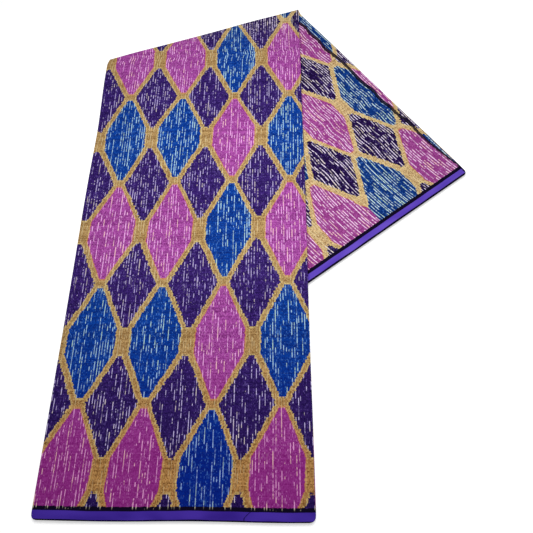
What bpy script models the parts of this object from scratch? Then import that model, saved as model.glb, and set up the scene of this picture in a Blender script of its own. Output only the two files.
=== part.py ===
"""A length of printed cotton cloth, folded back and forth into a long strip.

The strip lies flat, and its far end is turned under along a slanting line, so that
it comes out again at the lower right as a flap beneath the strip. The whole cloth is
one sheet, modelled as one closed solid: the back-and-forth section of its layers is
carried along the strip, round the turn and out to the end of the flap.
"""
import math

import bmesh
import bpy

# Driving dimensions, in metres and degrees
CLOTH_WIDTH = 1.125       # from selvedge to selvedge, which is also the strip's length
STRIP_WIDTH = 0.305       # from the folds on the left to those on the right
LAYERS = 4
SHEET = 0.0011            # thickness of the cloth
LAYER_GAP = 0.0003        # air between two layers
TURN_START = 0.639        # length of the strip's left edge before the turn
TURN_ANGLE = 17.7         # slant of the turn's line from straight across the strip
TURN_GAP = 0.0010         # air between the strip and the flap beneath it

# How the strip sinks from the flap beneath it to the floor
DRAPE_MARGIN = 0.012      # it is still level this far past the flap's edges
DRAPE_LENGTH = 0.070

# Where each edge of a layer lies, counted from the bottom layer upwards. Inset is how
# far the edge stays inside the strip's width, and wave is how much it wanders.
EDGES = (
    {"edge": "bottom cut end", "side": "right", "inset": 0.0035, "wave": 0.0007, "wave_length": 0.115},
    {"edge": "first fold", "side": "left", "inset": 0.0016, "wave": 0.0007, "wave_length": 0.310},
    {"edge": "second fold", "side": "right", "inset": 0.0005, "wave": 0.0004, "wave_length": 0.420},
    {"edge": "third fold", "side": "left", "inset": 0.0004, "wave": 0.0003, "wave_length": 0.530},
    {"edge": "top cut end", "side": "right", "inset": 0.0008, "wave": 0.0003, "wave_length": 0.240},
)
WAVE_SHIFT = 0.31         # share of a wave by which each edge's wave starts later

# The turn draws the bottom layer's cut end further in, most where the flap begins
DRAWN_IN = 0.0085
DRAWN_FROM = 0.68         # distance along the strip where this begins
DRAWN_MOST = 0.75

# The edges are pulled in a little where they meet a selvedge, which rounds the corners,
# and so are the folds on the left where they go round the turn
CORNER_RADIUS = 0.006
CORNER_SOFTNESS = 0.7     # share of the radius by which a corner is really pulled in
TURN_PINCH = 0.0025
TURN_PINCH_REACH = 0.011  # to each side of the turn's middle

# Mesh resolution
SPAN_MARGIN = 0.018       # the faces across a layer are even, apart from one this wide at each edge
SPAN_STEPS = 7            # even faces across a layer
FOLD_STEPS = 4            # faces round a fold
STRIP_STEPS = 20          # faces along the strip
TURN_STEPS = 8            # faces round the turn
FLAP_STEPS = 14           # faces along the flap
CORNER_ROWS = (0.2, 0.55, 1.1)   # extra rows near a selvedge, in corner radii
TURN_ROWS = (0.004, 0.012)       # extra rows this far before the turn and after it

PITCH = SHEET + LAYER_GAP
STACK = LAYERS * PITCH - LAYER_GAP
TURN_RADIUS = TURN_GAP / 2
RAISED = STACK + TURN_GAP
COLOUR = (0.095, 0.030, 0.180, 1.0)
ROUGHNESS = 0.85


def smooth_step(value):
    """Ease from 0 to 1 as the value goes from 0 to 1."""
    held = min(max(value, 0.0), 1.0)
    return held * held * (3.0 - 2.0 * held)


def turn_axes():
    """The direction along the turn's line, and the one across it."""
    angle = math.radians(TURN_ANGLE)
    along = (math.cos(angle), math.sin(angle))
    across = (-math.sin(angle), math.cos(angle))
    return along, across


def to_turn(x, y):
    """Split a place on the flat strip into its distances along and past the turn's line."""
    along, across = turn_axes()
    up = y - TURN_START
    return x * along[0] + up * along[1], x * across[0] + up * across[1]


def from_turn(along_line, past_line):
    """The place, seen from above, at these distances along and past the turn's line."""
    along, across = turn_axes()
    x = along_line * along[0] + past_line * across[0]
    y = TURN_START + along_line * along[1] + past_line * across[1]
    return x, y


def on_flap(x, y):
    """Where a place on the strip's underside past the turn lies, seen from above."""
    along_line, past_line = to_turn(x, y)
    return from_turn(along_line, math.pi * TURN_RADIUS - past_line)


def left_of(start, end, x, y):
    """Distance of a place from a line, positive to the left of its direction."""
    run_x = end[0] - start[0]
    run_y = end[1] - start[1]
    return (run_x * (y - start[1]) - run_y * (x - start[0])) / math.hypot(run_x, run_y)


def strip_base(x, y):
    """Height of the strip's underside, which lies over the hidden part of the flap."""
    turn_corner = (0.0, TURN_START)
    hidden_corner = on_flap(0.0, CLOTH_WIDTH)
    tip_corner = on_flap(STRIP_WIDTH, CLOTH_WIDTH)
    past_side = -left_of(turn_corner, hidden_corner, x, y)
    past_end = -left_of(hidden_corner, tip_corner, x, y)
    outside = max(past_side, past_end)
    return RAISED * (1.0 - smooth_step((outside - DRAPE_MARGIN) / DRAPE_LENGTH))


def place(x, y, height):
    """Carry a place in the stack of layers along the strip and round the turn.

    x and y lie on the flat strip, and height is measured from the stack's underside.
    """
    along_line, past_line = to_turn(x, y)
    if past_line <= 0.0:
        return x, y, strip_base(x, y) + height
    radius = TURN_RADIUS + height
    middle = TURN_RADIUS + STACK
    angle = min(past_line / radius, math.pi)
    beyond = past_line - angle * radius
    flat_x, flat_y = from_turn(along_line, radius * math.sin(angle) - beyond)
    return flat_x, flat_y, middle + radius * math.cos(angle)


def corner_pull(y):
    """How far an edge is pulled in near a selvedge."""
    reach = CORNER_RADIUS - min(y, CLOTH_WIDTH - y)
    reach = min(max(reach, 0.0), CORNER_RADIUS)
    return CORNER_SOFTNESS * (CORNER_RADIUS - math.sqrt(CORNER_RADIUS ** 2 - reach ** 2))


def turn_pull(y):
    """How far a fold on the left is pulled in at the turn."""
    middle = TURN_START + math.pi * (TURN_RADIUS + STACK / 2) / 2
    return TURN_PINCH * (1.0 - smooth_step(abs(y - middle) / TURN_PINCH_REACH))


def cut_end_inset(inset, y):
    """Inset of the bottom cut end, drawn in at the turn and level with the rest at the tip."""
    onset = smooth_step((y - DRAWN_FROM) / (DRAWN_MOST - DRAWN_FROM))
    left_to_go = (CLOTH_WIDTH - y) / (CLOTH_WIDTH - DRAWN_MOST)
    drawn = (inset + DRAWN_IN) * left_to_go
    return inset + onset * (drawn - inset)


def edge_x(number, y):
    """Place of this edge's outermost point across the strip."""
    edge = EDGES[number]
    waves = y / edge["wave_length"] + WAVE_SHIFT * number
    inset = edge["inset"]
    if number == 0:
        inset = cut_end_inset(inset, y)
    inset += edge["wave"] * math.sin(2.0 * math.pi * waves)
    inset = max(inset, 0.0) + corner_pull(y)
    if edge["side"] == "right":
        return STRIP_WIDTH - inset
    return inset + turn_pull(y)


def outward(number):
    """1 where this edge faces right, and -1 where it faces left."""
    return 1.0 if EDGES[number]["side"] == "right" else -1.0


def span_end(number, y):
    """Where a layer's flat span ends at this edge: at the cut, or where the fold begins."""
    if number in (0, LAYERS):
        return edge_x(number, y)
    return edge_x(number, y) - outward(number) * (LAYER_GAP / 2 + SHEET)


def span_steps():
    """Places of a layer's inner rows across the strip, the same for all layers."""
    width = STRIP_WIDTH - 2 * SPAN_MARGIN
    return [SPAN_MARGIN + width * step / SPAN_STEPS for step in range(SPAN_STEPS + 1)]


def layer_section(layer, y):
    """A layer's middle line from its first edge to its second, as x, height and normal."""
    height = layer * PITCH + SHEET / 2
    first = span_end(layer, y)
    second = span_end(layer + 1, y)
    inner = span_steps()
    if second < first:
        inner = inner[::-1]
    face = (0.0, 1.0 if second < first else -1.0)
    return [(x, height, face) for x in [first] + inner + [second]]


def fold_section(number, y):
    """The middle line round a fold, without its two ends."""
    points = []
    for step in range(1, FOLD_STEPS):
        angle = math.pi * (step / FOLD_STEPS - 0.5)
        x = span_end(number, y) + outward(number) * PITCH / 2 * math.cos(angle)
        height = number * PITCH - LAYER_GAP / 2 + PITCH / 2 * math.sin(angle)
        face = (math.cos(angle), outward(number) * math.sin(angle))
        points.append((x, height, face))
    return points


def section(y):
    """The folded sheet's middle line from the bottom cut end to the top one."""
    points = layer_section(0, y)
    for layer in range(1, LAYERS):
        points += fold_section(layer, y) + layer_section(layer, y)
    return points


def even_steps(first, last, count):
    """Even values from just after the first to the last."""
    return [first + (last - first) * step / count for step in range(1, count + 1)]


def rows():
    """Rows of the sweep, each as a stretch of the cloth and the share of it passed."""
    flap_length = CLOTH_WIDTH - TURN_START
    near_corner = [CORNER_RADIUS * radii / TURN_START for radii in CORNER_ROWS]
    far_corner = [1.0 - CORNER_RADIUS * radii / flap_length for radii in reversed(CORNER_ROWS)]
    before_turn = [1.0 - lead / TURN_START for lead in reversed(TURN_ROWS)]
    after_turn = [lead / flap_length for lead in TURN_ROWS]
    strip = [0.0] + near_corner
    strip += even_steps(near_corner[-1], before_turn[0], STRIP_STEPS) + before_turn[1:] + [1.0]
    flap = after_turn + even_steps(after_turn[-1], far_corner[0], FLAP_STEPS)
    flap += far_corner[1:] + [1.0]
    stretches = [("strip", share) for share in strip]
    stretches += [("turn", share) for share in even_steps(0.0, 1.0, TURN_STEPS)]
    stretches += [("flap", share) for share in flap]
    return stretches


def distance_along(row, x, height):
    """Distance from the near selvedge at which a row crosses this place in the stack."""
    stretch, share = row
    angle = math.radians(TURN_ANGLE)
    turn_line = TURN_START + x * math.tan(angle)
    turn_length = math.pi * (TURN_RADIUS + height) / math.cos(angle)
    if stretch == "strip":
        return share * turn_line
    if stretch == "turn":
        return turn_line + share * turn_length
    flap_start = turn_line + turn_length
    return flap_start + share * (CLOTH_WIDTH - flap_start)


def section_ring(row):
    """The closed outline of the folded sheet at one row: its one face, then the other."""
    one_face = []
    other_face = []
    rough_section = section(TURN_START)
    for step, (rough_x, height, face) in enumerate(rough_section):
        x, height, face = section(distance_along(row, rough_x, height))[step]
        for points, side in ((one_face, 0.5), (other_face, -0.5)):
            face_x = x + side * SHEET * face[0]
            face_height = height + side * SHEET * face[1]
            face_y = distance_along(row, face_x, face_height)
            points.append(place(face_x, face_y, face_height))
    return one_face + other_face[::-1]


def level_split(points, corners):
    """Split a four-sided face in two along the diagonal that falls as it goes right."""
    first, second, third, fourth = corners
    if points[first][0] < points[second][0]:
        return [(first, second, fourth), (second, third, fourth)]
    return [(first, second, third), (first, third, fourth)]


def sheet_faces(points, ring_size):
    """Faces between neighbouring rows, and the two selvedges that close the ends."""
    faces = []
    last_ring = len(points) - ring_size
    for ring_start in range(0, last_ring, ring_size):
        for step in range(ring_size):
            low = ring_start + step
            next_low = ring_start + (step + 1) % ring_size
            corners = (low, next_low, next_low + ring_size, low + ring_size)
            faces += level_split(points, corners)
    for ring_start in (0, last_ring):
        for step in range(ring_size // 2 - 1):
            low = ring_start + step
            across = ring_start + ring_size - 1 - step
            faces.append((low, low + 1, across - 1, across))
    return faces


def centred(points):
    """Move the points so that the origin is on the floor below the part's middle."""
    middle_x = (min(p[0] for p in points) + max(p[0] for p in points)) / 2
    middle_y = (min(p[1] for p in points) + max(p[1] for p in points)) / 2
    return [(p[0] - middle_x, p[1] - middle_y, p[2]) for p in points]


def printed_cotton():
    """The cloth's plain mean colour, dull and not metallic."""
    material = bpy.data.materials.new("printed_cotton")
    material.use_nodes = True
    shader = material.node_tree.nodes["Principled BSDF"]
    shader.inputs["Base Color"].default_value = COLOUR
    shader.inputs["Roughness"].default_value = ROUGHNESS
    shader.inputs["Metallic"].default_value = 0.0
    return material


def folded_cloth():
    """The whole cloth as one closed solid."""
    rings = [section_ring(row) for row in rows()]
    points = [point for ring in rings for point in ring]
    mesh = bpy.data.meshes.new("folded_cloth")
    mesh.from_pydata(centred(points), [], sheet_faces(points, len(rings[0])))
    shell = bmesh.new()
    shell.from_mesh(mesh)
    bmesh.ops.recalc_face_normals(shell, faces=shell.faces)
    shell.to_mesh(mesh)
    shell.free()
    mesh.shade_smooth()
    mesh.set_sharp_from_angle(angle=math.radians(40))
    mesh.materials.append(printed_cotton())
    cloth = bpy.data.objects.new("folded_cloth", mesh)
    bpy.context.collection.objects.link(cloth)


def main():
    """Clear the scene and build the cloth."""
    for thing in list(bpy.data.objects):
        bpy.data.objects.remove(thing, do_unlink=True)
    folded_cloth()


main()
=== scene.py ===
# The look of a length of printed cotton cloth, folded back and forth into a long strip
# whose far end is turned under and comes out again at the lower right as a flap.

import math

import bpy
from mathutils import Matrix, Vector


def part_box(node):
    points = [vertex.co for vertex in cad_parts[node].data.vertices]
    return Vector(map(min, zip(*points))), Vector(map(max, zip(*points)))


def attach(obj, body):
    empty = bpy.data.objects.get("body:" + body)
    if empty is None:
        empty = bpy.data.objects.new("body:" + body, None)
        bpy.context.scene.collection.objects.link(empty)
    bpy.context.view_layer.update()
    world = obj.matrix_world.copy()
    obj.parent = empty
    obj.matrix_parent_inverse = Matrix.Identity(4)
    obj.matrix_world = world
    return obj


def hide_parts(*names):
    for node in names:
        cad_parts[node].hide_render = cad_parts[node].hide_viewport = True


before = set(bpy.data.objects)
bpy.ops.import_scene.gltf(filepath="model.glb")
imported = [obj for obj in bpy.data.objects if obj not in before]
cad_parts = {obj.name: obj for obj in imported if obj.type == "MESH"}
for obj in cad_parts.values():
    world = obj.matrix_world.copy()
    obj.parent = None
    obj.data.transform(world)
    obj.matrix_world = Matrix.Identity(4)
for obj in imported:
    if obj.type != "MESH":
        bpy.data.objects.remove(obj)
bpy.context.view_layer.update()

# The folded cloth, in metres and degrees: the same sizes as its solid, in a thinner sheet
CLOTH_WIDTH = 1.125       # from selvedge to selvedge, which is also the strip's length
STRIP_WIDTH = 0.305       # from the folds on the left to those on the right
LAYERS = 4
PITCH = 0.0014            # from the middle of one layer to the middle of the next
SHEET = 0.0008            # thickness of the cloth
TURN_START = 0.639        # length of the strip's left edge before the turn
TURN_ANGLE = 17.7         # slant of the turn's line from straight across the strip
TURN_GAP = 0.0010         # air between the strip and the flap beneath it

# How the strip sinks from the flap beneath it to the floor
DRAPE_MARGIN = 0.012
DRAPE_LENGTH = 0.070

# Where each edge of a layer lies, counted from the bottom layer upwards. Inset is how
# far the edge stays inside the strip's width, and wave is how much it wanders.
EDGES = (
    {"edge": "bottom cut end", "side": "right", "inset": 0.0035, "wave": 0.0007, "wave_length": 0.115},
    {"edge": "first fold", "side": "left", "inset": 0.0016, "wave": 0.0007, "wave_length": 0.310},
    {"edge": "second fold", "side": "right", "inset": 0.0005, "wave": 0.0004, "wave_length": 0.420},
    {"edge": "third fold", "side": "left", "inset": 0.0004, "wave": 0.0003, "wave_length": 0.530},
    {"edge": "top cut end", "side": "right", "inset": 0.0008, "wave": 0.0003, "wave_length": 0.240},
)
WAVE_SHIFT = 0.31
LEFT_BULGE = 0.0012       # how far the folds on the left stand out, most at mid-length
RIGHT_BULGE = 0.0008
BULGE_ENDS = 0.52         # where along the strip they no longer do
BULGE_FADE = 0.10

# The selvedges aren't quite straight: the near one bows out, and the far one is drawn in
NEAR_OUT = 0.00115
NEAR_WAVE = 0.00045
NEAR_WAVE_LENGTH = 0.188
NEAR_WAVE_START = 0.083
FAR_IN = 0.0024
SELVEDGE_REACH = 0.040

# The bottom layer's cut end is drawn in by the turn, ripples along the flap, and lifts a little
DRAWN_IN = 0.0122
DRAWN_POWER = 0.42
DRAWN_FROM = 0.68
DRAWN_MOST = 0.75
DRAWN_TO = 1.108
RIPPLE = 0.0014
RIPPLE_LENGTH = 0.052
RIPPLE_DRIFT = 2.0        # how unevenly the ripples follow each other
RIPPLE_DRIFT_LENGTH = 0.031
RIPPLE_FADE = 2.0         # how early they fade out towards the tip
END_LIFT = 0.0022
END_LIFT_REACH = 0.016
END_LIFT_VARIES = 0.3
END_LIFT_WAVE = 0.083
END_LIFT_LATE = 0.03      # how far past the turn it begins
END_LIFT_TIP = 0.05       # and how far from the far selvedge it ends

CORNER_RADIUS = 0.006
TURN_PINCH = 0.0025
TURN_PINCH_REACH = 0.011

# The cloth doesn't lie quite level: how much its height varies, and over what distances
UNEVEN = 0.07
UNEVEN_WAVES = (
    {"across": 0.210, "along": 0.330, "start": 0.10, "share": 0.45},
    {"across": -0.130, "along": 0.190, "start": 0.35, "share": 0.35},
    {"across": 0.075, "along": -0.110, "start": 0.70, "share": 0.20},
)

# Mesh resolution
SPAN_MARGIN = 0.006
SPAN_STEPS = 28
FOLD_STEPS = 8
STRIP_STEPS = 84
TURN_STEPS = 20
FLAP_STEPS = 62
CORNER_ROWS = (0.1, 0.3, 0.6, 1.1)
TURN_ROWS = (0.002, 0.005, 0.009, 0.014)
SHARP_ANGLE = 50          # degrees between faces above which an edge looks sharp

LAYER_GAP = PITCH - SHEET
STACK = LAYERS * PITCH - LAYER_GAP
TURN_RADIUS = TURN_GAP / 2
RAISED = STACK + TURN_GAP

# The print: columns of large diamonds run along the strip, with dark ones between them
COLUMN = 0.0795           # from one column of large diamonds to the next
ROW = 0.1485              # from one large diamond to the next in its column
ROW_STEPS = 72            # small steps in the diamonds' edges, for each such distance
FIRST_ROW = 0.0451        # middle of the first large diamonds above the near selvedge
TOP_START = 0.0359        # the print's place at the strip's left edge, on the top layer
TOP_SLANT = 0.02975       # how the top layer's columns lean and bend
TOP_BEND = 0.0794
TOP_MIDDLE = 0.350
SECOND_FOLD_PRINT = -0.2980
BOTTOM_START = -0.5925    # the print's place at the strip's left edge, on the bottom layer
BOTTOM_SLANT = 0.0094
BOTTOM_SHIFT = 0.0037     # how far the print has crept along the cloth on the bottom layer
COLUMNS_REPEAT = 8.0      # columns after which blue and pink come in the same order again
SLIPPED_BEFORE = 1.5      # the first columns of each repeat, where blue and pink change places

# The diamonds' outlines, as shares of the distance between their columns or rows
LARGE_HALF_WIDTH = 0.378
LARGE_HALF_LENGTH = 0.462
LARGE_SLOPE = 0.95        # how fast the sides draw together
LARGE_NARROW = 0.047      # half the width at the next distance from the middle
LARGE_NARROW_AT = 0.4545
DARK_HALF_WIDTH = 0.394
DARK_HALF_LENGTH = 0.385
DARK_SLOPE = 0.97
DARK_CORNER = 0.405       # half the width at mid-length, before it is cut off
DARK_SHIFT = 0.0075       # how far dark diamonds lie from midway between the large ones
BLUNT_TIP = 3.0           # how steeply the tips are cut off

# Between two columns a pink and a blue diamond meet at the far selvedge, with no band
MERGED_COLUMN = -9.5
MERGED_HALF = 0.4
MERGED_SOFT = 0.02
MERGED_ALONG = (1.070, 1.104)
MERGED_WIDER = 0.22

# How far the print wanders, and how uneven the diamonds' edges are, in metres
WANDER_ACROSS = 0.004
WANDER_ALONG = 0.005
NEAR_PRINT_SHIFT = 0.0036  # how far the print has slipped beside the near selvedge
NEAR_PRINT_REACH = (0.012, 0.036)
EDGE_SPECKS = 0.0012
EDGE_LUCK = 0.0016
EDGE_SOFT = 0.0002
PINK_UNEVEN = 0.50        # shares of that unevenness for each colour of diamond
BLUE_UNEVEN = 1.00
DARK_UNEVEN = -1.4

# Distances between the threads, and the share of their mottling that a whole weft has
WARP = 0.0010
WEFT = 0.00125
WEFT_SHARE = 0.3

# Zones of the cloth, in metres from the near selvedge: low near it, and far on the flap.
# High is all the rest. The low zone's threads are darker and more saturated: painted shade
# where the light falls off towards the near selvedge.
ZONES = ("high", "low", "far")
LOW_ZONE = (0.03, 0.24)
FAR_ZONE = (0.66, 0.74)

# The light streaks: how far apart their lines are, how wide a line is at most, how long
# a streak is, and how much sparser they are than in the low zone, with a seed for each
LOW_STREAKS = {"pitch": 0.0032, "width": 0.0008, "length": 0.016, "sparser": 0.0, "seed": 1.0}
HIGH_STREAKS = {"pitch": 0.0035, "width": 0.0010, "length": 0.017, "sparser": -0.04, "seed": 6.0}
FAR_STREAKS = {"pitch": 0.0036, "width": 0.0012, "length": 0.020, "sparser": -0.10, "seed": 3.0}
FINE_SPECKS = {"pitch": 0.0017, "width": 0.0008, "length": 0.0032, "sparser": 0.04, "seed": 2.0}
HIGH_STREAKS_ALONG = (0.24, 0.30)
SPARSE = (0.590, 0.470)   # from where the cloth has fewest streaks to where it has most
STREAK_GAIN = (2.0, 1.8)  # how strong the streaks are outside the low zone, and in it
SPECK_GAIN = (0.75, 0.55)

# How each line of streaks sways, breaks up and differs from the next
STREAK_SWAY = 0.0006
LINE_PLACES = (0.32, 0.68)
LINE_HALF_WIDTHS = (0.3, 0.5)
LINE_SOFT = 0.00025
LINE_LUCK = 0.08
LINES_APART = 7.31
LINE_START = 37.0
STREAK_ONSET = (-0.01, 0.02)
BRIGHTNESS_PACE = 1.25
BRIGHTNESS_RANGE = (0.38, 0.60)
WEAK_STREAK = 0.40
BEAD = 0.0021             # length of the small dots that make up a streak
BEAD_RANGE = (0.12, 0.55)
WEAK_BEAD = 0.18
CREAMY_RANGE = (0.53, 0.64)  # some streaks are creamy
CREAMY_SHARE = 0.65
CRISP_RANGE = (0.22, 1.0)    # on dark diamonds in the high zone, weak streaks fade out
DARK_SPECKS = 0.7

# Colours of the print, in display values. Threads go from the darkest to the lightest, and
# strength is how much of the streaks each zone shows. The darker, more saturated threads of
# the low zone are painted shade.
BLUE = {
    "threads": {
        "high": ((0, 24, 100), (10, 76, 180)),
        "low": ((0, 22, 124), (2, 46, 158)),
        "far": ((0, 28, 92), (10, 64, 146)),
    },
    "streaks": {"high": (186, 228, 248), "low": (168, 200, 255), "far": (216, 242, 248)},
    "creamy": (206, 242, 206),
    "specks": (90, 146, 226),
    "strength": {"high": 0.88, "low": 0.86, "far": 0.88},
}
PINK = {
    "threads": {
        "high": ((108, 20, 102), (198, 97, 192)),
        "low": ((136, 22, 122), (168, 60, 156)),
        "far": ((128, 36, 112), (178, 84, 164)),
    },
    "streaks": {"high": (255, 190, 248), "low": (255, 176, 234), "far": (255, 216, 248)},
    "creamy": (255, 208, 178),
    "specks": (222, 136, 212),
    "strength": {"high": 0.93, "low": 0.93, "far": 0.98},
}
DARK = {
    "threads": {
        "high": ((14, 0, 56), (68, 40, 128)),
        "low": ((18, 0, 66), (54, 30, 106)),
        "far": ((10, 0, 40), (42, 14, 82)),
    },
    "streaks": {"high": (220, 206, 255), "low": (220, 206, 255), "far": (240, 226, 248)},
    "creamy": (236, 220, 190),
    "specks": (136, 112, 200),
    "strength": {"high": 0.70, "low": 1.04, "far": 1.00},
}
GOLD = {
    "threads": {
        "high": ((122, 84, 40), (212, 176, 118)),
        "low": ((112, 66, 22), (228, 172, 104)),
        "far": ((132, 94, 52), (252, 218, 160)),
    },
    "streaks": (242, 226, 178),
    "strength": {"high": 0.50, "low": 0.28, "far": 0.50},
}

# The gold is paler in a thin rim along every diamond, and browner along the pink ones
RIM_SOFT = 0.0003
PALE_RIM = (-0.0019, -0.0002)
PALE_RIM_COLOUR = (234, 214, 138)
PALE_RIM_SHARE = (0.18, 0.68)
PINK_RIM = (-0.0012, 0.0006)
PINK_RIM_COLOUR = (196, 96, 74)
PINK_RIM_SHARE = (1.0, 0.4)

# The selvedges: a violet band on a dark border, in metres from each edge of the cloth
SELVEDGE_SOFT = 0.0003
NEAR_BORDER = 0.0138
FAR_BORDER = 0.0150
NEAR_VIOLET = (0.0014, 0.0097)
FAR_VIOLET = (0.0026, 0.0100)
BORDER_RAGGED = 0.0030
VIOLET_WAVER = 0.0014
BORDER_COLOUR = (12, 4, 34)
BORDER_STREAKS = (220, 212, 180)
BORDER_STREAKS_FROM = 0.0105
BORDER_STREAKS_TO = 0.5   # so only the near border has streaks
VIOLET_SHADING = (0.3, 0.7)
NEAR_VIOLET_SHADES = ((62, 36, 156), (82, 54, 184))
FAR_VIOLET_SHADES = ((92, 64, 190), (112, 84, 206))

# Painted shade for a slanting crease in the near selvedge on the top layer, on the flat cloth
CREASE_START = 1.1395
CREASE_SLANT = 1.3
CREASE_EDGE = (0.0003, 0.0009)
CREASE_SHARE = 0.85
CREASE_SHADE_COLOUR = (20, 6, 76)

# The dark line along the bottom cut end, which narrows towards the far selvedge: a dark raw edge
# together with painted shadow of the gap under the lifted edge
CUT_END_WIDTH = (0.0047, 0.0025)
CUT_END_NARROWS = (0.98, 1.10)
CUT_END_RAGGED = 0.0030
CUT_END_SOFT = 0.0005
CUT_END_SHARE = 0.94
CUT_END_EDGE_AND_SHADOW_COLOUR = (14, 2, 30)

# The cotton's surface
ROUGHNESS = (0.76, 0.90)
SPECULAR = 0.06
RELIEF_STRENGTH = 0.25
RELIEF_DEPTH = 0.0002

# The floor, the lights and the camera. Places are measured from the strip's near left corner.
FLOOR_HALF = 6.0
FLOOR_DROP = 0.0002
FLOOR_BASE = 0.74
FLOOR_ROUGHNESS = 0.9
FLOOR_GLOW = 0.52
LIGHT_LEVEL = 1.35        # brightness of a white sheet where the lights are brightest
KEY_AIM = (0.23, 0.44, 0.0)
KEY_HEIGHT = 0.62
KEY_SIZE = 0.4
KEY_POWER = 5.0
ROOM_LIGHT = 0.25
CAMERA_PLACE = (0.27554, 0.07036, 0.55043)
CAMERA_LENS = 30.881
CAMERA_SENSOR = 36.0
CAMERA_CLIP = 0.01
CAMERA_DOWN = 68.09       # degrees below level
CAMERA_TURN = -6.0        # degrees to the right of straight along the strip
CAMERA_ROLL = -6.32       # degrees about its own line of sight


def smooth_step(value):
    """Ease from 0 to 1 as the value goes from 0 to 1."""
    held = min(max(value, 0.0), 1.0)
    return held * held * (3.0 - 2.0 * held)


def turn_axes():
    """The direction along the turn's line, and the one across it."""
    angle = math.radians(TURN_ANGLE)
    along = (math.cos(angle), math.sin(angle))
    across = (-math.sin(angle), math.cos(angle))
    return along, across


def to_turn(x, y):
    """Split a place on the flat strip into its distances along and past the turn's line."""
    along, across = turn_axes()
    up = y - TURN_START
    return x * along[0] + up * along[1], x * across[0] + up * across[1]


def from_turn(along_line, past_line):
    """The place, seen from above, at these distances along and past the turn's line."""
    along, across = turn_axes()
    x = along_line * along[0] + past_line * across[0]
    y = TURN_START + along_line * along[1] + past_line * across[1]
    return x, y


def on_flap(x, y):
    """Where a place on the strip's underside past the turn lies, seen from above."""
    along_line, past_line = to_turn(x, y)
    return from_turn(along_line, math.pi * TURN_RADIUS - past_line)


def left_of(start, end, x, y):
    """Distance of a place from a line, positive to the left of its direction."""
    run_x = end[0] - start[0]
    run_y = end[1] - start[1]
    return (run_x * (y - start[1]) - run_y * (x - start[0])) / math.hypot(run_x, run_y)


def strip_base(x, y):
    """Height of the strip's underside, which lies over the hidden part of the flap."""
    turn_corner = (0.0, TURN_START)
    hidden_corner = on_flap(0.0, CLOTH_WIDTH)
    tip_corner = on_flap(STRIP_WIDTH, CLOTH_WIDTH)
    past_side = -left_of(turn_corner, hidden_corner, x, y)
    past_end = -left_of(hidden_corner, tip_corner, x, y)
    outside = max(past_side, past_end)
    return RAISED * (1.0 - smooth_step((outside - DRAPE_MARGIN) / DRAPE_LENGTH))


def unevenness(x, y):
    """How much higher or lower than level the cloth lies here, as a share of its height."""
    total = 0.0
    for wave in UNEVEN_WAVES:
        waves = x / wave["across"] + y / wave["along"] + wave["start"]
        total += wave["share"] * math.sin(2.0 * math.pi * waves)
    return UNEVEN * total


def place(x, y, height):
    """Carry a place in the stack of layers along the strip and round the turn.

    x and y lie on the flat strip, and height is measured from the stack's underside.
    """
    along_line, past_line = to_turn(x, y)
    if past_line <= 0.0:
        z = strip_base(x, y) + height
        return x, y, z * (1.0 + unevenness(x, y))
    radius = TURN_RADIUS + height
    middle = TURN_RADIUS + STACK
    angle = min(past_line / radius, math.pi)
    beyond = past_line - angle * radius
    flat_x, flat_y = from_turn(along_line, radius * math.sin(angle) - beyond)
    z = middle + radius * math.cos(angle)
    return flat_x, flat_y, z * (1.0 + unevenness(flat_x, flat_y))


def corner_pull(y):
    """How far an edge is pulled in near a selvedge."""
    reach = CORNER_RADIUS - min(y, CLOTH_WIDTH - y)
    reach = min(max(reach, 0.0), CORNER_RADIUS)
    return CORNER_RADIUS - math.sqrt(CORNER_RADIUS ** 2 - reach ** 2)


def turn_pull(y):
    """How far a fold on the left is pulled in at the turn."""
    middle = TURN_START + math.pi * (TURN_RADIUS + STACK / 2) / 2
    return TURN_PINCH * (1.0 - smooth_step(abs(y - middle) / TURN_PINCH_REACH))


def flap_share(y):
    """0 before the bottom layer's cut end comes free of the turn, 1 soon after."""
    return smooth_step((y - DRAWN_FROM) / (DRAWN_MOST - DRAWN_FROM))


def cut_end_inset(inset, y):
    """Inset of the bottom cut end, drawn in at the turn and level with the rest at the tip."""
    left_to_go = max(DRAWN_TO - y, 0.0) / (DRAWN_TO - DRAWN_MOST)
    drawn = DRAWN_IN * left_to_go ** DRAWN_POWER
    drift = RIPPLE_DRIFT * math.sin(y / RIPPLE_DRIFT_LENGTH)
    ripple = RIPPLE * math.sin(2.0 * math.pi * y / RIPPLE_LENGTH + drift)
    ripple *= min(left_to_go * RIPPLE_FADE, 1.0)
    return inset + flap_share(y) * (drawn + ripple - inset)


def edge_x(number, y):
    """Place of this edge's outermost point across the strip."""
    edge = EDGES[number]
    waves = y / edge["wave_length"] + WAVE_SHIFT * number
    inset = edge["inset"]
    if number == 0:
        inset = cut_end_inset(inset, y)
    inset += edge["wave"] * math.sin(2.0 * math.pi * waves)
    bulge = 1.0 - smooth_step((y - BULGE_ENDS + BULGE_FADE) / BULGE_FADE)
    inset = max(inset, 0.0) + corner_pull(y)
    if edge["side"] == "right":
        return STRIP_WIDTH - inset + RIGHT_BULGE * bulge
    return inset + turn_pull(y) - LEFT_BULGE * bulge


def outward(number):
    """1 where this edge faces right, and -1 where it faces left."""
    return 1.0 if EDGES[number]["side"] == "right" else -1.0


def span_end(number, y):
    """Where a layer's flat span ends at this edge: at the cut, or where the fold begins."""
    if number in (0, LAYERS):
        return edge_x(number, y)
    return edge_x(number, y) - outward(number) * (LAYER_GAP / 2 + SHEET)


def selvedge_shift(x, y):
    """How far the selvedges' unevenness moves the cloth along the strip here."""
    wave = NEAR_WAVE * math.cos(2.0 * math.pi * (x - NEAR_WAVE_START) / NEAR_WAVE_LENGTH)
    near = (NEAR_OUT + wave) * (1.0 - smooth_step((y - CORNER_RADIUS) / SELVEDGE_REACH))
    far = FAR_IN * smooth_step(1.0 - (CLOTH_WIDTH - CORNER_RADIUS - y) / SELVEDGE_REACH)
    return -near - far


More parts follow.
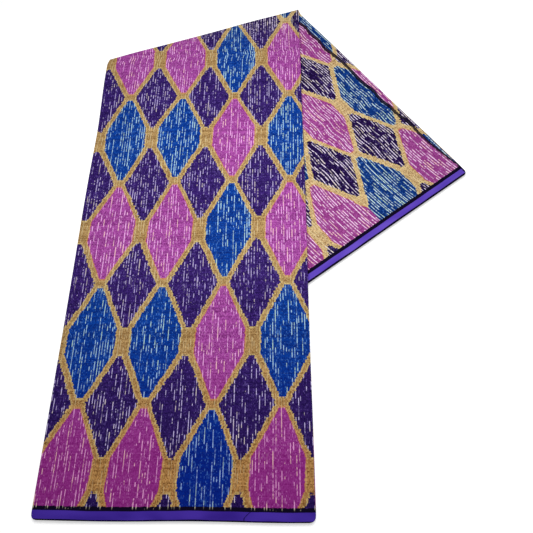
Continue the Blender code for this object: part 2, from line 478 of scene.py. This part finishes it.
def section_steps():
    """The folded sheet's steps from the bottom cut end to the top one.

    Each is a step across a layer, from -1 at its one edge to SPAN_STEPS + 1 at the
    other, or a step round a fold.
    """
    steps = []
    for layer in range(LAYERS):
        steps += [("layer", layer, step) for step in range(-1, SPAN_STEPS + 2)]
        if layer < LAYERS - 1:
            steps += [("fold", layer + 1, step) for step in range(1, FOLD_STEPS)]
    return steps


def layer_point(layer, step, y):
    """Place across the strip of a layer's step."""
    first = span_end(layer, y)
    last = span_end(layer + 1, y)
    if step < 0:
        return first
    if step > SPAN_STEPS:
        return last
    first -= outward(layer) * SPAN_MARGIN
    last -= outward(layer + 1) * SPAN_MARGIN
    return first + (last - first) * step / SPAN_STEPS


def section_point(section_step, y):
    """A step's place across the strip, its height, and the direction out of its one face."""
    kind, number, step = section_step
    if kind == "layer":
        height = number * PITCH + SHEET / 2
        face = (0.0, outward(number))
        return layer_point(number, step, y), height, face
    angle = math.pi * (step / FOLD_STEPS - 0.5)
    x = span_end(number, y) + outward(number) * PITCH / 2 * math.cos(angle)
    height = number * PITCH - LAYER_GAP / 2 + PITCH / 2 * math.sin(angle)
    face = (math.cos(angle), outward(number) * math.sin(angle))
    return x, height, face


def top_lean(y):
    """How far the print's columns on the top layer have leaned over here."""
    up = y - TOP_MIDDLE
    return TOP_SLANT * up - TOP_BEND * up * up


def edge_print(number, y):
    """The print's place across the cloth at an edge of the layers."""
    x = edge_x(number, y)
    if number >= LAYERS - 1:
        return TOP_START + x - top_lean(y)
    if number == 2:
        return SECOND_FOLD_PRINT
    return BOTTOM_START - x + BOTTOM_SLANT * (y - CLOTH_WIDTH)


def layer_print(layer, x, y):
    """The print's place across the cloth at a place on a layer."""
    first_x = edge_x(layer, y)
    second_x = edge_x(layer + 1, y)
    first = edge_print(layer, y)
    second = edge_print(layer + 1, y)
    return first + (second - first) * (x - first_x) / (second_x - first_x)


def layer_cloth(layer, x, y):
    """Distance across the flat cloth from the bottom cut end to a place on a layer."""
    return layer * STRIP_WIDTH + abs(x - edge_x(layer, y))


def print_shift(layer, step_share):
    """How far the print has crept along the cloth at this share of a layer."""
    folds_left = LAYERS - 1 - layer - step_share
    return BOTTOM_SHIFT * min(max(folds_left / (LAYERS - 2), 0.0), 1.0)


def cloth_places(section_step, x, y):
    """Where a point lies in the print, and on the flat cloth."""
    kind, number, step = section_step
    if kind == "layer":
        share = min(max(step / SPAN_STEPS, 0.0), 1.0)
        shift = print_shift(number, share)
        return (layer_print(number, x, y), y + shift), (layer_cloth(number, x, y), y)
    share = step / FOLD_STEPS
    end = span_end(number, y)
    before = layer_print(number - 1, end, y)
    after = layer_print(number, end, y)
    cloth_before = layer_cloth(number - 1, end, y)
    cloth_after = layer_cloth(number, end, y)
    printed = (before + (after - before) * share, y + print_shift(number, 0.0))
    return printed, (cloth_before + (cloth_after - cloth_before) * share, y)


def even_steps(first, last, count):
    """Even values from just after the first to the last."""
    return [first + (last - first) * step / count for step in range(1, count + 1)]


def rows():
    """Rows of the sweep, each as a stretch of the cloth and the share of it passed."""
    flap_length = CLOTH_WIDTH - TURN_START
    near_corner = [CORNER_RADIUS * radii / TURN_START for radii in CORNER_ROWS]
    far_corner = [1.0 - CORNER_RADIUS * radii / flap_length for radii in reversed(CORNER_ROWS)]
    before_turn = [1.0 - lead / TURN_START for lead in reversed(TURN_ROWS)]
    after_turn = [lead / flap_length for lead in TURN_ROWS]
    strip = [0.0] + near_corner
    strip += even_steps(near_corner[-1], before_turn[0], STRIP_STEPS) + before_turn[1:] + [1.0]
    flap = after_turn + even_steps(after_turn[-1], far_corner[0], FLAP_STEPS)
    flap += far_corner[1:] + [1.0]
    stretches = [("strip", share) for share in strip]
    stretches += [("turn", share) for share in even_steps(0.0, 1.0, TURN_STEPS)]
    stretches += [("flap", share) for share in flap]
    return stretches


def distance_along(row, x, height):
    """Distance from the near selvedge at which a row crosses this place in the stack."""
    stretch, share = row
    angle = math.radians(TURN_ANGLE)
    turn_line = TURN_START + x * math.tan(angle)
    turn_length = math.pi * (TURN_RADIUS + height) / math.cos(angle)
    if stretch == "strip":
        return share * turn_line
    if stretch == "turn":
        return turn_line + share * turn_length
    flap_start = turn_line + turn_length
    return flap_start + share * (CLOTH_WIDTH - flap_start)


def end_lift(section_step, x, y):
    """How far the bottom layer lifts near its cut end, on the flap."""
    kind, number, step = section_step
    if kind != "layer" or number != 0:
        return 0.0
    from_end = (edge_x(0, y) - x) / END_LIFT_REACH
    wave = END_LIFT_VARIES * math.sin(2.0 * math.pi * y / END_LIFT_WAVE)
    lift = END_LIFT * (1.0 - END_LIFT_VARIES + wave)
    near_tip = smooth_step((CLOTH_WIDTH - y) / END_LIFT_TIP)
    return lift * near_tip * smooth_step(1.0 - from_end) * flap_share(y - END_LIFT_LATE)


def section_ring(row):
    """The closed outline of the folded sheet at one row, with each point's cloth places."""
    one_face = []
    other_face = []
    for section_step in section_steps():
        rough_x, height, face = section_point(section_step, TURN_START)
        x, height, face = section_point(section_step, distance_along(row, rough_x, height))
        for points, side in ((one_face, 0.5), (other_face, -0.5)):
            face_x = x + side * SHEET * face[0]
            face_height = height + side * SHEET * face[1]
            flat_y = distance_along(row, face_x, face_height)
            face_y = flat_y + selvedge_shift(face_x, flat_y)
            spot_x, spot_y, spot_z = place(face_x, face_y, face_height)
            spot_z += end_lift(section_step, x, face_y)
            printed, cloth = cloth_places(section_step, x, face_y)
            cloth = (cloth[0], flat_y)
            points.append(((spot_x, spot_y, spot_z), printed, cloth))
    return one_face + other_face[::-1]


def sheet_faces(ring_count, ring_size):
    """Faces between neighbouring rows, and the two selvedges that close the ends."""
    faces = []
    last_ring = (ring_count - 1) * ring_size
    for ring_start in range(0, last_ring, ring_size):
        for step in range(ring_size):
            low = ring_start + step
            next_low = ring_start + (step + 1) % ring_size
            faces.append((low, low + ring_size, next_low + ring_size, next_low))
    for step in range(ring_size // 2 - 1):
        across = ring_size - 1 - step
        faces.append((step, step + 1, across - 1, across))
        last_across = last_ring + across
        last_step = last_ring + step
        faces.append((last_across, last_across - 1, last_step + 1, last_step))
    return faces


def add_places(mesh, name, places):
    """Keep a place for each point of the mesh in a map of this name."""
    layer = mesh.uv_layers.new(name=name)
    for loop in mesh.loops:
        layer.data[loop.index].uv = places[loop.vertex_index]


def folded_cloth(corner):
    """The whole cloth as one thin sheet, with maps of its print and of the flat cloth."""
    rings = [section_ring(row) for row in rows()]
    points = [point for ring in rings for point in ring]
    spots = [(spot[0] + corner.x, spot[1] + corner.y, spot[2]) for spot, printed, cloth in points]
    mesh = bpy.data.meshes.new("printed_cloth")
    mesh.from_pydata(spots, [], sheet_faces(len(rings), len(rings[0])))
    add_places(mesh, "print", [printed for spot, printed, cloth in points])
    add_places(mesh, "cloth", [cloth for spot, printed, cloth in points])
    mesh.shade_smooth()
    mesh.set_sharp_from_angle(angle=math.radians(SHARP_ANGLE))
    cloth = bpy.data.objects.new("printed_cloth", mesh)
    bpy.context.collection.objects.link(cloth)
    return cloth


def paint(red, green, blue):
    """A colour for the cloth that looks like this one, in display values, under the lights."""
    shown = []
    for value in (red / 255.0, green / 255.0, blue / 255.0):
        light = value / 12.92 if value <= 0.04045 else ((value + 0.055) / 1.055) ** 2.4
        shown.append(light / LIGHT_LEVEL)
    return (shown[0], shown[1], shown[2], 1.0)


def feed(tree, slot, value):
    """Link a node's output to this input, or set the input to a plain value."""
    if isinstance(value, bpy.types.NodeSocket):
        tree.links.new(value, slot)
    else:
        slot.default_value = value


def calc(tree, operation, *values):
    """The result of a sum on outputs of nodes and plain numbers."""
    node = tree.nodes.new("ShaderNodeMath")
    node.operation = operation
    for slot, value in zip(node.inputs, values):
        feed(tree, slot, value)
    return node.outputs[0]


def product(tree, *values):
    """The product of several values."""
    result = values[0]
    for value in values[1:]:
        result = calc(tree, "MULTIPLY", result, value)
    return result


def rise(tree, value, low, high):
    """Ease from 0 to 1 as the value goes from low to high."""
    node = tree.nodes.new("ShaderNodeMapRange")
    node.interpolation_type = "SMOOTHSTEP"
    feed(tree, node.inputs["Value"], value)
    feed(tree, node.inputs["From Min"], low)
    feed(tree, node.inputs["From Max"], high)
    return node.outputs["Result"]


def fall(tree, value, low, high):
    """Ease from 1 to 0 as the value goes from low to high."""
    return calc(tree, "SUBTRACT", 1.0, rise(tree, value, low, high))


def between(tree, value, low, high, soft):
    """1 where the value lies between low and high, with soft ends."""
    after_low = rise(tree, value, low - soft, low + soft)
    after_high = rise(tree, value, high - soft, high + soft)
    return calc(tree, "SUBTRACT", after_low, after_high)


def blend(tree, share, first, second):
    """The first colour where the share is 0, and the second where it is 1."""
    node = tree.nodes.new("ShaderNodeMix")
    node.data_type = "RGBA"
    feed(tree, node.inputs["Factor"], share)
    feed(tree, node.inputs[6], first)
    feed(tree, node.inputs[7], second)
    return node.outputs[2]


def blend_values(tree, share, first, second):
    """The first value where the share is 0, and the second where it is 1."""
    change = calc(tree, "SUBTRACT", second, first)
    return calc(tree, "MULTIPLY_ADD", share, change, first)


def vector(tree, x, y, z=0.0):
    """Three values as one vector."""
    node = tree.nodes.new("ShaderNodeCombineXYZ")
    for slot, value in zip(node.inputs, (x, y, z)):
        feed(tree, slot, value)
    return node.outputs[0]


def noise(tree, place_vector, detail=0.0):
    """Smooth noise about 0.5, which varies over a distance of about 1."""
    node = tree.nodes.new("ShaderNodeTexNoise")
    node.noise_dimensions = "3D"
    feed(tree, node.inputs["Vector"], place_vector)
    node.inputs["Scale"].default_value = 1.0
    node.inputs["Detail"].default_value = detail
    return node.outputs[0]


def lottery(tree, place_vector):
    """A random value from 0 to 1 for each place."""
    node = tree.nodes.new("ShaderNodeTexWhiteNoise")
    node.noise_dimensions = "3D"
    feed(tree, node.inputs["Vector"], place_vector)
    return node.outputs["Value"]


def map_place(tree, name):
    """The two distances kept in one of the cloth's maps."""
    node = tree.nodes.new("ShaderNodeUVMap")
    node.uv_map = name
    parts = tree.nodes.new("ShaderNodeSeparateXYZ")
    tree.links.new(node.outputs["UV"], parts.inputs[0])
    return parts.outputs[0], parts.outputs[1]


def patches(tree, across, along, per_metre, seed, detail=0.0):
    """Smooth random patches about 0.5, so many for each metre across and along the cloth."""
    x = calc(tree, "MULTIPLY", across, per_metre[0])
    y = calc(tree, "MULTIPLY", along, per_metre[1])
    return noise(tree, vector(tree, x, y, seed), detail)


def shifted(tree, value, luck, reach):
    """The value, moved to either side by a random value about 0.5 times this reach."""
    return calc(tree, "MULTIPLY_ADD", calc(tree, "SUBTRACT", luck, 0.5), reach, value)


def spread(tree, share, first, last):
    """A value that goes from the first to the last as the share goes from 0 to 1."""
    return calc(tree, "MULTIPLY_ADD", share, last - first, first)


def wandered(tree, across, along):
    """The print's place, which wanders a little from an even grid."""
    across_luck = patches(tree, across, along, per_metre=(14.0, 9.0), seed=3.0)
    along_luck = patches(tree, across, along, per_metre=(11.0, 8.0), seed=8.0)
    moved_across = shifted(tree, across, across_luck, WANDER_ACROSS)
    moved_along = shifted(tree, along, along_luck, WANDER_ALONG)
    beside_selvedge = fall(tree, along, *NEAR_PRINT_REACH)
    moved_along = calc(tree, "MULTIPLY_ADD", beside_selvedge, NEAR_PRINT_SHIFT, moved_along)
    return moved_across, moved_along


def merged_diamonds(tree, column, along):
    """1 where a pink and a blue diamond meet with no band."""
    first = MERGED_COLUMN - MERGED_HALF
    last = MERGED_COLUMN + MERGED_HALF
    beside = between(tree, column, first, last, MERGED_SOFT)
    return product(tree, beside, rise(tree, along, *MERGED_ALONG))


def inside_large(tree, column, row, merged):
    """How far inside the nearest large diamond a place lies, as a share of a column."""
    from_column = calc(tree, "PINGPONG", column, 0.5)
    from_row = calc(tree, "PINGPONG", row, 0.5)
    corner = LARGE_NARROW + LARGE_SLOPE * LARGE_NARROW_AT
    taper = calc(tree, "MULTIPLY_ADD", from_row, -LARGE_SLOPE, corner)
    half_width = calc(tree, "MINIMUM", taper, LARGE_HALF_WIDTH)
    half_width = calc(tree, "MULTIPLY_ADD", merged, MERGED_WIDER, half_width)
    side = calc(tree, "SUBTRACT", half_width, from_column)
    tip = calc(tree, "SUBTRACT", LARGE_HALF_LENGTH, from_row)
    return calc(tree, "MINIMUM", side, calc(tree, "MULTIPLY", tip, BLUNT_TIP))


def inside_dark(tree, column, row, merged):
    """How far inside the nearest dark diamond a place lies, as a share of a column."""
    from_column = calc(tree, "PINGPONG", calc(tree, "ADD", column, 0.5 + DARK_SHIFT), 0.5)
    from_tip = calc(tree, "PINGPONG", calc(tree, "ADD", row, DARK_SHIFT), 0.5)
    taper = calc(tree, "MULTIPLY_ADD", from_tip, DARK_SLOPE, DARK_CORNER - 0.5 * DARK_SLOPE)
    half_width = calc(tree, "MINIMUM", taper, DARK_HALF_WIDTH)
    side = calc(tree, "SUBTRACT", half_width, from_column)
    tip = calc(tree, "SUBTRACT", from_tip, 0.5 - DARK_HALF_LENGTH)
    inside = calc(tree, "MINIMUM", side, calc(tree, "MULTIPLY", tip, BLUNT_TIP))
    return calc(tree, "SUBTRACT", inside, merged)


def diamond_grid(tree, across, along):
    """How far inside the large and the dark diamonds a place lies, and which is blue."""
    column = calc(tree, "DIVIDE", across, COLUMN)
    row = calc(tree, "DIVIDE", calc(tree, "SUBTRACT", along, FIRST_ROW), ROW)
    step_number = calc(tree, "FLOOR", calc(tree, "MULTIPLY", row, ROW_STEPS))
    stepped_row = calc(tree, "MULTIPLY_ADD", step_number, 1.0 / ROW_STEPS, 0.5 / ROW_STEPS)
    merged = merged_diamonds(tree, column, along)
    in_large = inside_large(tree, column, stepped_row, merged)
    in_dark = inside_dark(tree, column, stepped_row, merged)

    half_column = calc(tree, "FLOOR", calc(tree, "MULTIPLY", column, 2.0))
    luck = lottery(tree, vector(tree, step_number, half_column))
    specks = patches(tree, across, along, per_metre=(620.0, 480.0), seed=4.0)
    uneven = shifted(tree, shifted(tree, 0.0, luck, EDGE_LUCK), specks, EDGE_SPECKS)
    blue = blue_or_pink(tree, column, row)
    large_uneven = product(tree, uneven, spread(tree, blue, PINK_UNEVEN, BLUE_UNEVEN))
    dark_uneven = product(tree, uneven, DARK_UNEVEN)
    in_large = calc(tree, "MULTIPLY_ADD", in_large, COLUMN, large_uneven)
    in_dark = calc(tree, "MULTIPLY_ADD", in_dark, COLUMN, dark_uneven)
    return in_large, in_dark, blue


def blue_or_pink(tree, column, row):
    """1 where the nearest large diamond is blue, and 0 where it is pink."""
    column_number = calc(tree, "FLOOR", calc(tree, "ADD", column, 0.5))
    row_number = calc(tree, "FLOOR", calc(tree, "ADD", row, 0.5))
    repeat = calc(tree, "FLOORED_MODULO", column_number, COLUMNS_REPEAT)
    slip = calc(tree, "LESS_THAN", repeat, SLIPPED_BEFORE)
    steps = calc(tree, "ADD", calc(tree, "ADD", repeat, slip), row_number)
    return calc(tree, "GREATER_THAN", calc(tree, "FLOORED_MODULO", steps, 2.0), 0.5)


def streak_lines(tree, across, along, kind):
    """Unbroken lines along the cloth, and the number of the line at each place."""
    seed = kind["seed"]
    sway = patches(tree, across, along, per_metre=(60.0, 30.0), seed=seed)
    lines = calc(tree, "DIVIDE", shifted(tree, across, sway, STREAK_SWAY), kind["pitch"])
    line = calc(tree, "FLOOR", lines)
    own_place = spread(tree, lottery(tree, vector(tree, line, seed, 9.0)), *LINE_PLACES)
    from_middle = calc(tree, "SUBTRACT", calc(tree, "SUBTRACT", lines, line), own_place)
    reach = calc(tree, "MULTIPLY", calc(tree, "ABSOLUTE", from_middle), kind["pitch"])
    least = kind["width"] * LINE_HALF_WIDTHS[0]
    most = kind["width"] * LINE_HALF_WIDTHS[1]
    half_width = spread(tree, lottery(tree, vector(tree, line, seed)), least, most)
    outside = calc(tree, "ADD", half_width, LINE_SOFT)
    return fall(tree, reach, half_width, outside), line


def streaks(tree, across, along, sparse, kind):
    """Broken light lines of small dots along the cloth."""
    seed = kind["seed"]
    body, line = streak_lines(tree, across, along, kind)
    apart = calc(tree, "MULTIPLY", line, LINES_APART)
    start = calc(tree, "MULTIPLY", lottery(tree, vector(tree, line, seed, 2.0)), LINE_START)
    passed = calc(tree, "MULTIPLY_ADD", along, 1.0 / kind["length"], start)
    wave = noise(tree, vector(tree, apart, passed, seed), 1.0)
    luck = spread(tree, lottery(tree, vector(tree, line, seed, 5.0)), -LINE_LUCK, LINE_LUCK)
    needed = calc(tree, "ADD", sparse, kind["sparser"])
    level = calc(tree, "SUBTRACT", calc(tree, "ADD", wave, luck), needed)
    other_pace = calc(tree, "MULTIPLY", passed, BRIGHTNESS_PACE)
    brightness = noise(tree, vector(tree, apart, other_pace, seed + 30.0))
    strength = spread(tree, rise(tree, brightness, *BRIGHTNESS_RANGE), WEAK_STREAK, 1.0)
    bead = calc(tree, "FLOOR", calc(tree, "MULTIPLY_ADD", along, 1.0 / BEAD, start))
    dots = rise(tree, lottery(tree, vector(tree, line, bead, seed)), *BEAD_RANGE)
    dotted = spread(tree, dots, WEAK_BEAD, 1.0)
    return product(tree, body, rise(tree, level, *STREAK_ONSET), strength, dotted)


def thread_grain(tree, across, along, seed):
    """A random value for each crossing of the threads, with a share that its whole weft has."""
    warp = calc(tree, "FLOOR", calc(tree, "DIVIDE", across, WARP))
    weft = calc(tree, "FLOOR", calc(tree, "DIVIDE", along, WEFT))
    crossing = lottery(tree, vector(tree, warp, weft, seed))
    whole_weft = lottery(tree, vector(tree, weft, 3.0, seed))
    weft_part = calc(tree, "MULTIPLY", whole_weft, WEFT_SHARE)
    return calc(tree, "MULTIPLY_ADD", crossing, 1.0 - WEFT_SHARE, weft_part)


def zone_shares(tree, along):
    """How much a place belongs to the low zone and to the far one."""
    return {"low": fall(tree, along, *LOW_ZONE), "far": rise(tree, along, *FAR_ZONE)}


def zoned_colour(tree, zones, colours):
    """A colour that differs between the zones."""
    near = blend(tree, zones["low"], colours["high"], colours["low"])
    return blend(tree, zones["far"], near, colours["far"])


def zoned_value(tree, zones, values):
    """A value that differs between the zones."""
    high = values["high"]
    near = calc(tree, "MULTIPLY_ADD", zones["low"], values["low"] - high, high)
    return calc(tree, "MULTIPLY_ADD", zones["far"], values["far"] - high, near)


def mottled(tree, grain, tones):
    """A colour that varies between two tones."""
    return blend(tree, grain, paint(*tones[0]), paint(*tones[1]))


def thread_colour(tree, zones, grain, threads):
    """The mottled colour of the threads, from their darkest to their lightest in each zone."""
    return zoned_colour(tree, zones, {zone: mottled(tree, grain, threads[zone]) for zone in ZONES})


def gold_colour(tree, zones, grain, in_large, in_dark, blue):
    """The mottled gold of the bands, paler or browner along the diamonds."""
    gold = thread_colour(tree, zones, grain, GOLD["threads"])
    nearest = calc(tree, "MAXIMUM", in_large, in_dark)
    beside = between(tree, nearest, *PALE_RIM, RIM_SOFT)
    pale = product(tree, beside, spread(tree, grain, *PALE_RIM_SHARE))
    gold = blend(tree, pale, gold, paint(*PALE_RIM_COLOUR))
    beside_large = between(tree, in_large, *PINK_RIM, RIM_SOFT)
    pink = calc(tree, "SUBTRACT", 1.0, blue)
    brown = product(tree, beside_large, pink, spread(tree, grain, *PINK_RIM_SHARE))
    return blend(tree, brown, gold, paint(*PINK_RIM_COLOUR))


def diamond_colour(tree, zones, colours, grain, creamy, light_lines, fine_lines):
    """One colour of diamond, with its fine specks and its light streaks."""
    base = thread_colour(tree, zones, grain, colours["threads"])
    line_shades = {zone: paint(*colours["streaks"][zone]) for zone in ZONES}
    lines = zoned_colour(tree, zones, line_shades)
    lines = blend(tree, creamy, lines, paint(*colours["creamy"]))
    specked = blend(tree, fine_lines, base, paint(*colours["specks"]))
    strength = zoned_value(tree, zones, colours["strength"])
    return blend(tree, product(tree, light_lines, strength), specked, lines)


def print_colour(tree, across, along, zones, grain, light_lines, fine_lines):
    """The whole print: gold bands round blue, pink and dark diamonds with light streaks."""
    moved_across, moved_along = wandered(tree, across, along)
    in_large, in_dark, blue = diamond_grid(tree, moved_across, moved_along)
    creamy = patches(tree, across, along, per_metre=(300.0, 40.0), seed=12.0)
    creamy = product(tree, rise(tree, creamy, *CREAMY_RANGE), CREAMY_SHARE)

    blue_cloth = diamond_colour(tree, zones, BLUE, grain, creamy, light_lines, fine_lines)
    pink_cloth = diamond_colour(tree, zones, PINK, grain, creamy, light_lines, fine_lines)
    soft_share = calc(tree, "MAXIMUM", zones["low"], zones["far"])
    crisp_lines = rise(tree, light_lines, *CRISP_RANGE)
    dark_lines = blend_values(tree, soft_share, crisp_lines, light_lines)
    dark_specks = product(tree, fine_lines, DARK_SPECKS)
    dark_cloth = diamond_colour(tree, zones, DARK, grain, creamy, dark_lines, dark_specks)

    gold = gold_colour(tree, zones, grain, in_large, in_dark, blue)
    gold_lines = product(tree, light_lines, zoned_value(tree, zones, GOLD["strength"]))
    gold = blend(tree, gold_lines, gold, paint(*GOLD["streaks"]))
    large_cloth = blend(tree, blue, pink_cloth, blue_cloth)
    colour = blend(tree, rise(tree, in_large, -EDGE_SOFT, EDGE_SOFT), gold, large_cloth)
    return blend(tree, rise(tree, in_dark, -EDGE_SOFT, EDGE_SOFT), colour, dark_cloth)


def border(tree, across, from_edge, width):
    """1 on the dark border of this width along a selvedge, with a ragged inner side."""
    rough = patches(tree, across, from_edge, per_metre=(200.0, 0.0), seed=2.0, detail=2.0)
    ragged = shifted(tree, from_edge, rough, BORDER_RAGGED)
    return fall(tree, ragged, width - SELVEDGE_SOFT, width + SELVEDGE_SOFT)


def violet_band(tree, across, from_edge, band):
    """1 on the violet band of a selvedge, whose width wavers a little."""
    waver = patches(tree, across, from_edge, per_metre=(28.0, 0.0), seed=5.0)
    wavered = shifted(tree, from_edge, waver, VIOLET_WAVER)
    return between(tree, wavered, *band, SELVEDGE_SOFT)


def violet_with_crease_shade(tree, violet, across, along):
    """Paint the dark shade of a slanting crease on the near selvedge's violet."""
    crease_way = calc(tree, "MULTIPLY_ADD", along, CREASE_SLANT, CREASE_START)
    from_crease = calc(tree, "ABSOLUTE", calc(tree, "SUBTRACT", across, crease_way))
    crease = product(tree, fall(tree, from_crease, *CREASE_EDGE), CREASE_SHARE)
    return blend(tree, crease, violet, paint(*CREASE_SHADE_COLOUR))


def selvedge_colour(tree, colour, across, along, light_lines):
    """Add the violet bands along both selvedges, with a dark line on each side of them."""
    from_far = calc(tree, "SUBTRACT", CLOTH_WIDTH, along)
    borders = calc(
        tree,
        "MAXIMUM",
        border(tree, across, along, NEAR_BORDER),
        border(tree, across, from_far, FAR_BORDER),
    )
    inner_side = rise(tree, along, BORDER_STREAKS_FROM, NEAR_BORDER)
    near_part = calc(tree, "LESS_THAN", along, BORDER_STREAKS_TO)
    specks = product(tree, light_lines, inner_side, near_part)
    border_cloth = blend(tree, specks, paint(*BORDER_COLOUR), paint(*BORDER_STREAKS))
    shade = patches(tree, across, along, per_metre=(22.0, 60.0), seed=1.0, detail=1.0)
    shade = rise(tree, shade, *VIOLET_SHADING)
    near_violet = mottled(tree, shade, NEAR_VIOLET_SHADES)
    near_violet = violet_with_crease_shade(tree, near_violet, across, along)
    far_violet = mottled(tree, shade, FAR_VIOLET_SHADES)
    colour = blend(tree, borders, colour, border_cloth)
    colour = blend(tree, violet_band(tree, across, along, NEAR_VIOLET), colour, near_violet)
    return blend(tree, violet_band(tree, across, from_far, FAR_VIOLET), colour, far_violet)


def cut_end_edge_and_shadow(tree, colour, across, along):
    """Darken the sheet's bottom cut end, less so near the far selvedge, as a dark raw edge with
    painted shadow.
    """
    rough = patches(tree, across, along, per_metre=(0.0, 160.0), seed=7.0)
    from_end = shifted(tree, across, rough, CUT_END_RAGGED)
    width = spread(tree, rise(tree, along, *CUT_END_NARROWS), *CUT_END_WIDTH)
    past_end = calc(tree, "SUBTRACT", from_end, width)
    end = product(tree, fall(tree, past_end, -CUT_END_SOFT, CUT_END_SOFT), CUT_END_SHARE)
    return blend(tree, end, colour, paint(*CUT_END_EDGE_AND_SHADOW_COLOUR))


def weave_height(tree, across, along):
    """The fine relief of the crossing threads."""
    warp = calc(tree, "SINE", calc(tree, "MULTIPLY", across, 2.0 * math.pi / WARP))
    weft = calc(tree, "SINE", calc(tree, "MULTIPLY", along, 2.0 * math.pi / WEFT))
    return calc(tree, "MULTIPLY", warp, weft)


def streaks_and_specks(tree, across, along, zones):
    """The light streaks and the fine specks of the whole cloth."""
    luck = patches(tree, across, along, per_metre=(34.0, 20.0), seed=6.0, detail=1.0)
    sparse = spread(tree, luck, *SPARSE)
    low_lines = streaks(tree, across, along, sparse, LOW_STREAKS)
    high_lines = streaks(tree, across, along, sparse, HIGH_STREAKS)
    far_lines = streaks(tree, across, along, sparse, FAR_STREAKS)
    near_lines = blend_values(tree, rise(tree, along, *HIGH_STREAKS_ALONG), low_lines, high_lines)
    light_lines = blend_values(tree, zones["far"], near_lines, far_lines)
    light_lines = product(tree, light_lines, spread(tree, zones["low"], *STREAK_GAIN))
    fine_lines = streaks(tree, across, along, sparse, FINE_SPECKS)
    fine_lines = product(tree, fine_lines, spread(tree, zones["low"], *SPECK_GAIN))
    return calc(tree, "MINIMUM", light_lines, 1.0), fine_lines


def printed_cotton():
    """Plain woven cotton with a fine relief and the printed diamonds."""
    material = bpy.data.materials.new("printed_cotton")
    material.use_nodes = True
    tree = material.node_tree
    shader = tree.nodes["Principled BSDF"]
    print_across, print_along = map_place(tree, "print")
    across, along = map_place(tree, "cloth")
    zones = zone_shares(tree, along)
    grain = thread_grain(tree, across, along, 1.0)
    light_lines, fine_lines = streaks_and_specks(tree, across, along, zones)
    colour = print_colour(tree, print_across, print_along, zones, grain, light_lines, fine_lines)
    colour = selvedge_colour(tree, colour, across, along, light_lines)
    colour = cut_end_edge_and_shadow(tree, colour, across, along)
    tree.links.new(colour, shader.inputs["Base Color"])
    tree.links.new(spread(tree, grain, *ROUGHNESS), shader.inputs["Roughness"])
    bump = tree.nodes.new("ShaderNodeBump")
    bump.inputs["Strength"].default_value = RELIEF_STRENGTH
    bump.inputs["Distance"].default_value = RELIEF_DEPTH
    tree.links.new(weave_height(tree, across, along), bump.inputs["Height"])
    tree.links.new(bump.outputs["Normal"], shader.inputs["Normal"])
    shader.inputs["Metallic"].default_value = 0.0
    shader.inputs["Specular IOR Level"].default_value = SPECULAR
    return material


def studio_floor():
    """A plain pale floor, much larger than the cloth."""
    mesh = bpy.data.meshes.new("floor")
    half = FLOOR_HALF
    corners = [(-half, -half, 0.0), (half, -half, 0.0), (half, half, 0.0), (-half, half, 0.0)]
    mesh.from_pydata(corners, [], [(0, 1, 2, 3)])
    floor = bpy.data.objects.new("floor", mesh)
    floor.location.z = -FLOOR_DROP
    bpy.context.collection.objects.link(floor)
    material = bpy.data.materials.new("floor_white")
    material.use_nodes = True
    shader = material.node_tree.nodes["Principled BSDF"]
    shader.inputs["Base Color"].default_value = (FLOOR_BASE, FLOOR_BASE, FLOOR_BASE, 1.0)
    shader.inputs["Roughness"].default_value = FLOOR_ROUGHNESS
    shader.inputs["Specular IOR Level"].default_value = 0.0
    shader.inputs["Emission Color"].default_value = (1.0, 1.0, 1.0, 1.0)
    shader.inputs["Emission Strength"].default_value = FLOOR_GLOW
    mesh.materials.append(material)


def key_light(corner):
    """A large square light that shines straight down on the upper middle of the strip."""
    aim = corner + Vector(KEY_AIM)
    spot = aim + Vector((0.0, 0.0, KEY_HEIGHT))
    light = bpy.data.lights.new("key", "AREA")
    light.shape = "SQUARE"
    light.size = KEY_SIZE
    light.energy = KEY_POWER
    lamp = bpy.data.objects.new("key", light)
    lamp.location = spot
    lamp.rotation_euler = (aim - spot).to_track_quat("-Z", "Y").to_euler()
    bpy.context.collection.objects.link(lamp)


def room_light():
    """Even white light all round, and colours shown as they are."""
    world = bpy.data.worlds.new("soft_white")
    world.use_nodes = True
    background = world.node_tree.nodes["Background"]
    background.inputs["Color"].default_value = (1.0, 1.0, 1.0, 1.0)
    background.inputs["Strength"].default_value = ROOM_LIGHT
    bpy.context.scene.world = world
    bpy.context.scene.view_settings.view_transform = "Standard"


def camera_from_photo(corner):
    """The camera, looking steeply down at the strip from above its near end."""
    data = bpy.data.cameras.new("camera")
    data.sensor_width = CAMERA_SENSOR
    data.lens = CAMERA_LENS
    data.clip_start = CAMERA_CLIP
    camera = bpy.data.objects.new("camera", data)
    down = math.radians(CAMERA_DOWN)
    turn = math.radians(CAMERA_TURN)
    roll = math.radians(CAMERA_ROLL)
    forward_x = math.sin(turn) * math.cos(down)
    forward_y = math.cos(turn) * math.cos(down)
    forward = Vector((forward_x, forward_y, -math.sin(down)))
    level = Vector((math.cos(turn), -math.sin(turn), 0.0))
    upright = level.cross(forward)
    right = math.cos(roll) * level + math.sin(roll) * upright
    up = -math.sin(roll) * level + math.cos(roll) * upright
    axes = Matrix((right, up, -forward)).transposed().to_4x4()
    camera.matrix_world = Matrix.Translation(corner + Vector(CAMERA_PLACE)) @ axes
    bpy.context.collection.objects.link(camera)
    bpy.context.scene.camera = camera


def main():
    """Dress the folded cloth, and set up the floor, the lights and the camera."""
    low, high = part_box("folded_cloth")
    corner = Vector((low.x, low.y, 0.0))
    cloth = folded_cloth(corner)
    cloth.data.materials.append(printed_cotton())
    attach(cloth, "root")
    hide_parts("folded_cloth")
    studio_floor()
    key_light(corner)
    room_light()
    camera_from_photo(corner)


main()
